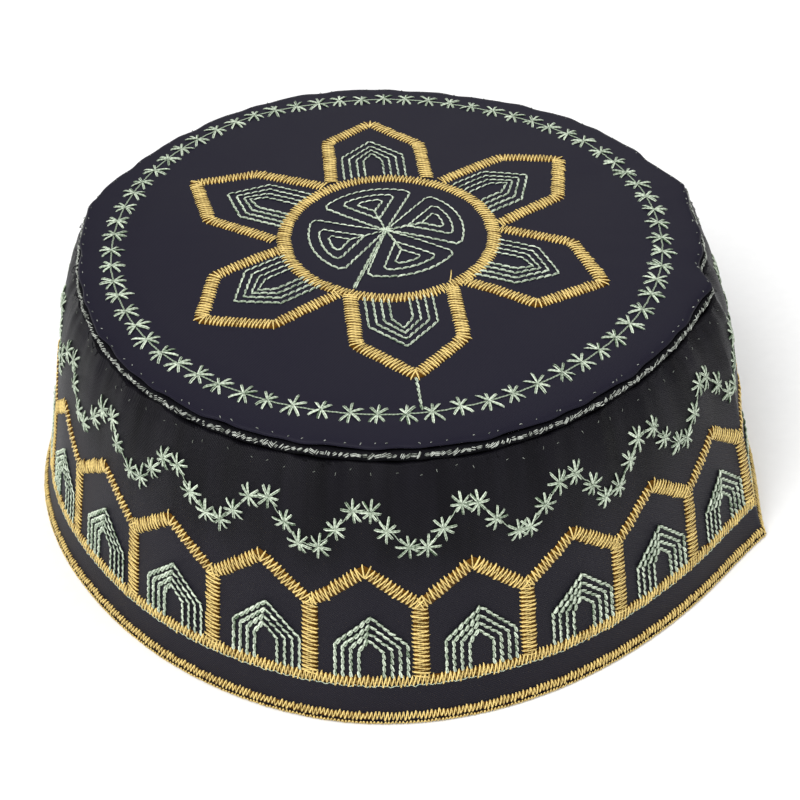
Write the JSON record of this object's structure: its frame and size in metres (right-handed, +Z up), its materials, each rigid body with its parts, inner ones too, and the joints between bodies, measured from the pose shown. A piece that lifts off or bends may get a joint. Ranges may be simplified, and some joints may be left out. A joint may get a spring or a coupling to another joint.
{
  "type": "prayer cap",
  "caption": "Soft round brimless cap with a flat crown, a flaring side band, a rolled seam and a bound rim, open below for the head.",
  "frame": {"origin": "on the surface that the cap rests on, under the middle of its rim", "axes": "+Z up through the crown, +Y to the back of the cap as pictured, +X to its right as seen from the front"},
  "size_m": [0.1942, 0.1904, 0.0731],
  "materials": {
    "crown_twill": "satin twill",
    "band_twill": "satin twill",
    "seam_cloth": "rolled cloth",
    "gold_thread": "satin stitch",
    "green_thread": "chain stitch",
    "pale_thread": "whip stitch"
  },
  "bodies": {
    "root": {"crown_top": "crown_twill", "crown_welt": "seam_cloth", "side_band": "band_twill", "rim_binding": "gold_thread"}
  },
  "joints": []
}
